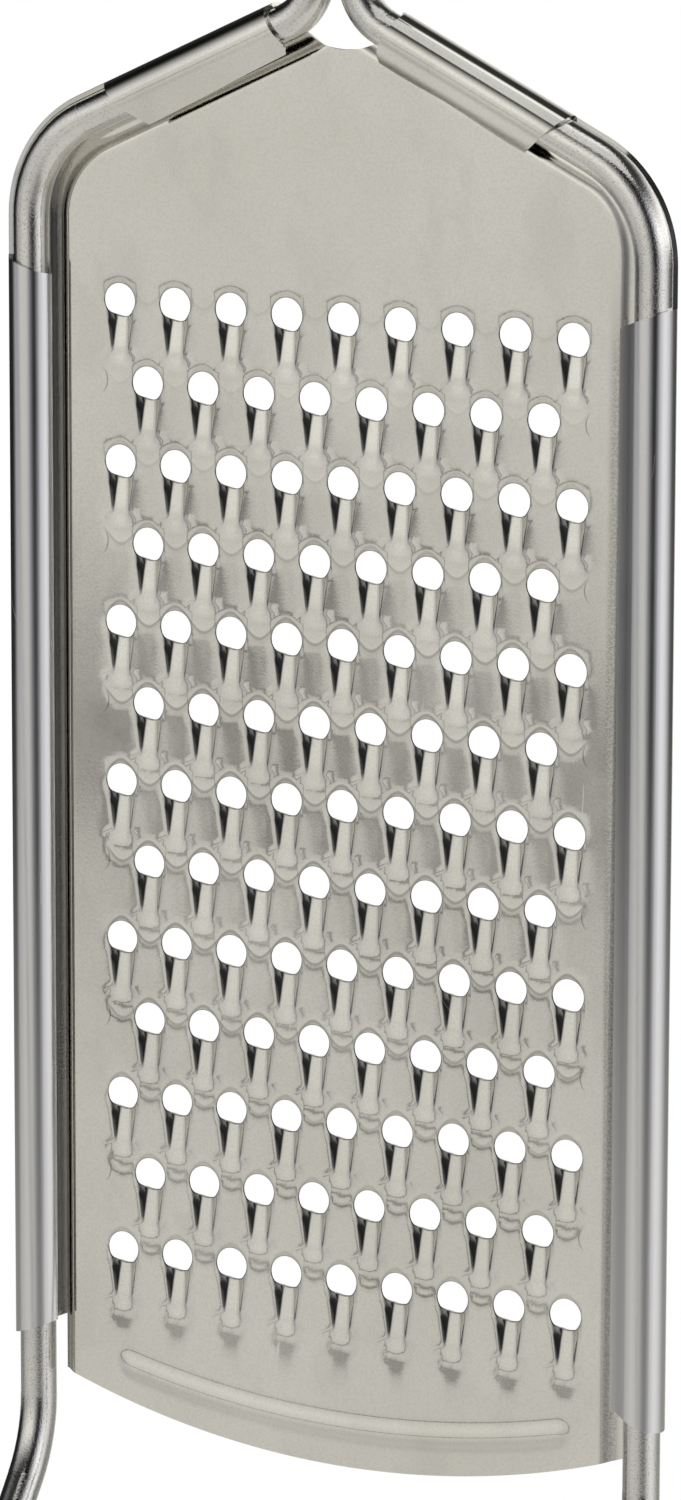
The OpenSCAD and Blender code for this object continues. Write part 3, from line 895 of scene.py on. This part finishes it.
def tooth_field_shade(graph, across, up):
    """Painted shade in the tooth field: along the creases and at the cut rims of the holes."""
    rows_up = graph.plus(graph.math("DIVIDE", up, ROW * MM), EYE_Z / ROW)
    columns = graph.math("DIVIDE", across, PITCH * MM)
    inside = graph.remap(graph.size_of(across), *FIELD_SHADE_SIDE, 1.0, 0.0)
    inside = graph.times(inside, graph.remap(rows_up, *FIELD_SHADE_BELOW))
    inside = graph.times(inside, graph.remap(rows_up, *FIELD_SHADE_ABOVE))
    crease_shading = graph.times(painted_crease_shade(graph, columns, rows_up), inside)
    return crease_shading, graph.times(painted_rim_shade(graph, columns, rows_up), inside)


def sheet_steel_material():
    """Satin sheet steel: cloudy and smudged, with painted shade along the creases, at the hole rims and in
    the fold beside the right lip, finely drawn on its rolls.
    """
    material, graph, shader = new_material("satin_sheet_steel")
    place = object_coordinates(graph)
    split = graph.add("ShaderNodeSeparateXYZ")
    graph.links.new(place, split.inputs[0])
    across, up = split.outputs["X"], split.outputs["Z"]
    clouds = graph.pattern(CLOUDS, place, SHEET_CLOUDS)
    smudges = graph.pattern(CLOUDS, graph.stretched(place, SMUDGE_STRETCH), SHEET_SMUDGES)
    grain = graph.pattern(SPECKLE, place, SHEET_GRAIN)
    streaks = graph.pattern(STREAKS, place, SHEET_STREAKS)
    scratches = graph.pattern(SCRATCHES, place, SHEET_SCRATCHES)
    on_roll = graph.remap(graph.size_of(across), *ROLL_START)
    # Painted shade in the fold beside the right lip, speckled by the grain; the same band also gets a
    # grainier relief
    shaded_grainy_fold = graph.times(graph.remap(across, *SHADED_FOLD_IN), graph.remap(across, *SHADED_FOLD_OUT))
    shaded_grainy_fold = graph.times(shaded_grainy_fold, graph.remap(up, *SHADED_FOLD_TOP))
    # Painted shade along the creases and at the hole rims
    crease_shading, rim_shading = tooth_field_shade(graph, across, up)
    colour = graph.mix(clouds, SHEET_DARK, SHEET_LIGHT)
    colour = graph.mix(graph.remap(smudges, *SMUDGE_MASK), colour, SMUDGE)
    colour = graph.mix(graph.remap(grain, *GRAIN_MASK), colour, GRAIN_PIT)
    colour = graph.mix(on_roll, colour, ROLLED_SHEET)
    # The painted shade of the fold, the creases and the hole rims darkens the colour here
    painted_darkening = graph.times(shaded_grainy_fold, graph.remap(grain, *FOLD_SHADE_MASK))
    painted_darkening = graph.math("MAXIMUM", painted_darkening, graph.times(crease_shading, CREASE_SHADE_SHARE))
    painted_darkening = graph.math("MAXIMUM", painted_darkening, graph.times(rim_shading, RIM_SHADE_SHARE))
    colour = graph.mix(painted_darkening, colour, PAINTED_SHADE)
    colour = graph.mix(graph.times(scratches, SCRATCH_SHARE), colour, SCRATCH)
    graph.put(shader, "Base Color", colour)
    graph.put(shader, "Metallic", 1.0)
    rough = graph.plus(graph.remap(clouds, 0.0, 1.0, *SHEET_ROUGH), graph.times(on_roll, ROLL_ROUGH))
    graph.put(shader, "Roughness", graph.plus(rough, graph.times(scratches, SCRATCH_ROUGH)))
    height = graph.times(grain, graph.remap(shaded_grainy_fold, 0.0, 1.0, *GRAIN_RELIEF))
    height = graph.plus(height, graph.times(streaks, graph.remap(on_roll, 0.0, 1.0, *STREAK_RELIEF)))
    height = graph.plus(height, graph.times(scratches, SCRATCH_RELIEF))
    graph.relief(shader, height, SHEET_RELIEF, SHEET_BUMP)
    return material


def wire_steel_material():
    """Bright drawn wire with fine streaks and small pits."""
    material, graph, shader = new_material("drawn_wire_steel")
    place = object_coordinates(graph)
    pits = graph.pattern(SPECKLE, place, WIRE_PITS)
    clouds = graph.pattern(CLOUDS, place, WIRE_CLOUDS)
    streaks = graph.pattern(STREAKS, place, WIRE_STREAKS)
    colour = graph.mix(clouds, WIRE_DARK, WIRE_LIGHT)
    colour = graph.mix(graph.remap(pits, *PIT_MASK), colour, WIRE_PIT)
    graph.put(shader, "Base Color", colour)
    graph.put(shader, "Metallic", 1.0)
    graph.put(shader, "Roughness", graph.remap(streaks, 0.0, 1.0, *WIRE_ROUGH))
    height = graph.plus(pits, graph.times(streaks, WIRE_STREAK_RELIEF))
    graph.relief(shader, height, WIRE_RELIEF, WIRE_BUMP)
    return material


def cap_rubber_material():
    """Matt dark rubber of the foot caps."""
    material, graph, shader = new_material("soft_cap_rubber")
    place = object_coordinates(graph)
    speckle = graph.pattern(SPECKLE, place, CAP_SPECKLE)
    clouds = graph.pattern(CLOUDS, place, CAP_CLOUDS)
    colour = graph.mix(speckle, RUBBER_DARK, RUBBER_LIGHT)
    colour = graph.mix(graph.times(clouds, WORN_SHARE), colour, RUBBER_WORN)
    graph.put(shader, "Base Color", colour)
    graph.put(shader, "Roughness", graph.remap(clouds, 0.0, 1.0, *CAP_ROUGH))
    graph.relief(shader, speckle, CAP_RELIEF, CAP_BUMP)
    return material


def assign(piece, material):
    piece.data.materials.clear()
    piece.data.materials.append(material)


sheet_steel = sheet_steel_material()
wire_steel = wire_steel_material()
cap_rubber = cap_rubber_material()

plate = grating_plate()
assign(plate, sheet_steel)
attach(plate, "root")
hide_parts("grater_plate")
for name in ("left_side_wire", "right_side_wire", "handle_loop"):
    assign(nodes[name], wire_steel)
for name in ("left_foot_cap", "right_foot_cap"):
    assign(nodes[name], cap_rubber)

# ---------------------------------------------------------------- camera

# Fitted to the grid of holes: place in metres, turn in degrees, lens and sensor in millimetres
CAMERA_PLACE = (0.52672, -0.97169, -0.00046)
CAMERA_TURN = (77.651, -0.117, 28.447)
CAMERA_LENS, CAMERA_SENSOR, CAMERA_NEAR = 188.45, 36.0, 0.05

camera_data = bpy.data.cameras.new("photo_camera")
camera_data.lens = CAMERA_LENS
camera_data.sensor_width = CAMERA_SENSOR
camera_data.clip_start = CAMERA_NEAR
camera = bpy.data.objects.new("photo_camera", camera_data)
bpy.context.scene.collection.objects.link(camera)
camera.location = CAMERA_PLACE
camera.rotation_euler = [math.radians(a) for a in CAMERA_TURN]
bpy.context.scene.camera = camera
bpy.context.scene.view_settings.view_transform = "Standard"

# ---------------------------------------------------------------- studio

FLOOR_Z = cad_box[0][2]
FLOOR_RADIUS, FLOOR_SIDES = 0.36, 96
FLOOR_PAINT, FLOOR_ROUGH = (0.85, 0.85, 0.84, 1.0), 0.9
# The distances between which the floor's own shading, with the shadow, fades into plain white
FLOOR_FADE = (0.02, 0.07)


def studio_floor():
    """Pale floor that keeps the shadow under the grater."""
    deselect_all()
    bpy.ops.mesh.primitive_circle_add(vertices=FLOOR_SIDES, radius=FLOOR_RADIUS, fill_type="NGON",
                                      location=(0, 0, FLOOR_Z))
    floor = bpy.context.active_object
    floor.name = "studio_floor"
    material, graph, shader = new_material("studio_floor_paint")
    graph.put(shader, "Base Color", FLOOR_PAINT)
    graph.put(shader, "Roughness", FLOOR_ROUGH)
    place = object_coordinates(graph)
    distance = graph.add("ShaderNodeVectorMath", operation="LENGTH")
    graph.links.new(place, distance.inputs[0])
    path = graph.add("ShaderNodeLightPath")
    seen = graph.math("MAXIMUM", path.outputs["Is Camera Ray"], path.outputs["Is Transmission Ray"])
    fade = graph.remap(distance.outputs["Value"], *FLOOR_FADE)
    glow = graph.add("ShaderNodeEmission", Strength=1.0)
    blend = graph.add("ShaderNodeMixShader")
    graph.links.new(graph.times(seen, fade), blend.inputs[0])
    graph.links.new(shader.outputs["BSDF"], blend.inputs[1])
    graph.links.new(glow.outputs["Emission"], blend.inputs[2])
    # The steel mirrors the lower part of the studio's walls through the floor
    clear = graph.add("ShaderNodeBsdfTransparent")
    mirrored = graph.add("ShaderNodeMixShader")
    graph.links.new(path.outputs["Is Glossy Ray"], mirrored.inputs[0])
    graph.links.new(blend.outputs["Shader"], mirrored.inputs[1])
    graph.links.new(clear.outputs["BSDF"], mirrored.inputs[2])
    graph.links.new(mirrored.outputs["Shader"], graph.nodes["Material Output"].inputs["Surface"])
    assign(floor, material)


BLACK, WHITE, TWICE = (0.0, 0.0, 0.0, 1.0), (1.0, 1.0, 1.0, 1.0), (2.0, 2.0, 2.0, 1.0)
# Light of the studio round the grater: turn from the front towards +X in degrees, brightness, coolness
STUDIO_WALLS = (
    (-180, 0.75, 0.0), (-160, 0.60, 0.0), (-150, 0.10, 0.5), (-140, 0.03, 0.5), (-98, 0.015, 0.5),
    (-88, 0.02, 0.5), (-78, 0.14, 0.5), (-66, 0.46, 0.6), (-50, 0.64, 0.4), (-30, 0.78, 0.0),
    (-5, 0.74, 0.1), (5, 0.60, 0.3), (15, 0.32, 0.6), (25, 0.12, 1.0), (33, 0.02, 1.0),
    (42, 0.03, 1.0), (52, 0.26, 1.0), (65, 0.76, 1.0), (83, 1.08, 0.7), (107, 1.00, 0.7),
    (145, 1.08, 0.4), (160, 0.85, 0.2))
WARM_LIGHT, COOL_LIGHT = (1.0, 0.99, 0.955), (0.965, 0.97, 1.03)
# How the same light changes with height, from straight down (-1) to straight up (1)
STUDIO_HEIGHTS = (
    (-1.0, 0.95), (-0.7, 0.95), (-0.55, 0.9), (-0.3, 1.04), (-0.22, 1.0), (0.0, 1.12), (0.16, 1.45),
    (0.3, 1.4), (0.42, 1.05), (0.56, 0.55), (0.66, 0.15), (0.75, 0.05), (0.95, 0.05), (0.985, 0.5))
# The darker side of the room, low down: its turns in radians and how dark it gets, and its heights
BESIDE_TURN, BESIDE_HEIGHT = (1.65, 2.55, 0.0, 0.9), (0.05, -0.08)
# The heights at which the dark zones fade towards the ground, in part and then wholly
NEAR_GROUND, AT_GROUND = (-0.20, -0.29, 0.0, 0.4), (-0.45, -0.65)
GROUND_LIGHT = (0.84, 0.83, 0.80, 1.0)
# The seam at the table's far edge: it leans a little, with its height given at one turn. Then where
# it and the duller table below it fade and how dark they are, and the turns between which both are seen
SEAM_HEIGHT, SEAM_SLOPE, SEAM_TURN = -0.2139, -0.1437, -0.4957
SEAM_SHADE, TABLE_SHADE = (0.008, 0.014, 0.7, 0.0), (0.004, -0.004, 0.0, 0.07)
SEAM_LEFT, SEAM_RIGHT = (-1.25, -0.9), (0.25, 0.0)


def light_ramp(graph, position, stops):
    """Colour ramp with soft steps from the stops, each a position from 0 to 1 and a colour."""
    ramp = graph.add("ShaderNodeValToRGB")
    graph.links.new(position, ramp.inputs[0])
    ramp.color_ramp.interpolation = "EASE"
    elements = ramp.color_ramp.elements
    while len(elements) > 1:
        elements.remove(elements[-1])
    elements[0].position = 0.0
    for index, (place, colour) in enumerate(stops):
        spot = elements[0] if index == 0 else elements.new(place)
        spot.color = list(colour) + [1.0]
    return ramp.outputs["Color"]


def studio_world():
    """The room that the steel mirrors; the camera itself sees plain white."""
    world = bpy.data.worlds.new("studio_room")
    bpy.context.scene.world = world
    world.use_nodes = True
    graph = Graph(world.node_tree)
    direction = graph.add("ShaderNodeTexCoord").outputs["Generated"]
    split = graph.add("ShaderNodeSeparateXYZ")
    graph.links.new(direction, split.inputs[0])
    forward = graph.times(split.outputs["Y"], -1.0)
    turn = graph.math("ARCTAN2", split.outputs["X"], forward)
    height = split.outputs["Z"]
    walls = light_ramp(graph, graph.remap(turn, -math.pi, math.pi, smooth=False), [
        ((angle + 180) / 360, [level * (w + cool * (c - w)) for w, c in zip(WARM_LIGHT, COOL_LIGHT)])
        for angle, level, cool in STUDIO_WALLS])
    # The ramp holds half of each level, because a ramp's colours stop at 1
    levels = light_ramp(graph, graph.remap(height, -1.0, 1.0, smooth=False), [
        ((place + 1) / 2, [level / 2] * 3) for place, level in STUDIO_HEIGHTS])
    beside = graph.times(graph.remap(turn, *BESIDE_TURN), graph.remap(height, *BESIDE_HEIGHT))
    walls = graph.mix(beside, walls, BLACK)
    ground = graph.math("MAXIMUM", graph.remap(height, *NEAR_GROUND), graph.remap(height, *AT_GROUND))
    walls = graph.mix(ground, walls, GROUND_LIGHT)
    tilt = graph.times(graph.minus(turn, SEAM_TURN), SEAM_SLOPE)
    over_seam = graph.minus(height, graph.plus(tilt, SEAM_HEIGHT))
    seam = graph.remap(graph.size_of(over_seam), *SEAM_SHADE)
    table = graph.remap(over_seam, *TABLE_SHADE)
    facing = graph.times(graph.remap(turn, *SEAM_LEFT), graph.remap(turn, *SEAM_RIGHT))
    shade = graph.times(graph.math("MAXIMUM", seam, table), facing)
    walls = graph.mix(shade, walls, BLACK)
    light = graph.mix(1.0, graph.mix(1.0, walls, levels, "MULTIPLY"), TWICE, "MULTIPLY")
    path = graph.add("ShaderNodeLightPath")
    light = graph.mix(path.outputs["Is Camera Ray"], light, WHITE)
    background = graph.nodes["Background"]
    graph.put(background, "Color", light)
    graph.put(background, "Strength", 1.0)


def soft_box(name, place, aim, width, height, power):
    """Area lamp at a place, turned towards its aim; sizes in metres, power in watts."""
    lamp = bpy.data.lights.new(name, "AREA")
    lamp.shape = "RECTANGLE"
    lamp.size = width
    lamp.size_y = height
    lamp.energy = power
    box = bpy.data.objects.new(name, lamp)
    bpy.context.scene.collection.objects.link(box)
    box.location = place
    box.rotation_euler = (Vector(aim) - Vector(place)).to_track_quat("-Z", "Y").to_euler()


studio_floor()
studio_world()
soft_box("soft_box_above", place=(0.2, -0.3, 0.9), aim=(0.0, 0.0, -0.2), width=1.0, height=1.0, power=2.5)
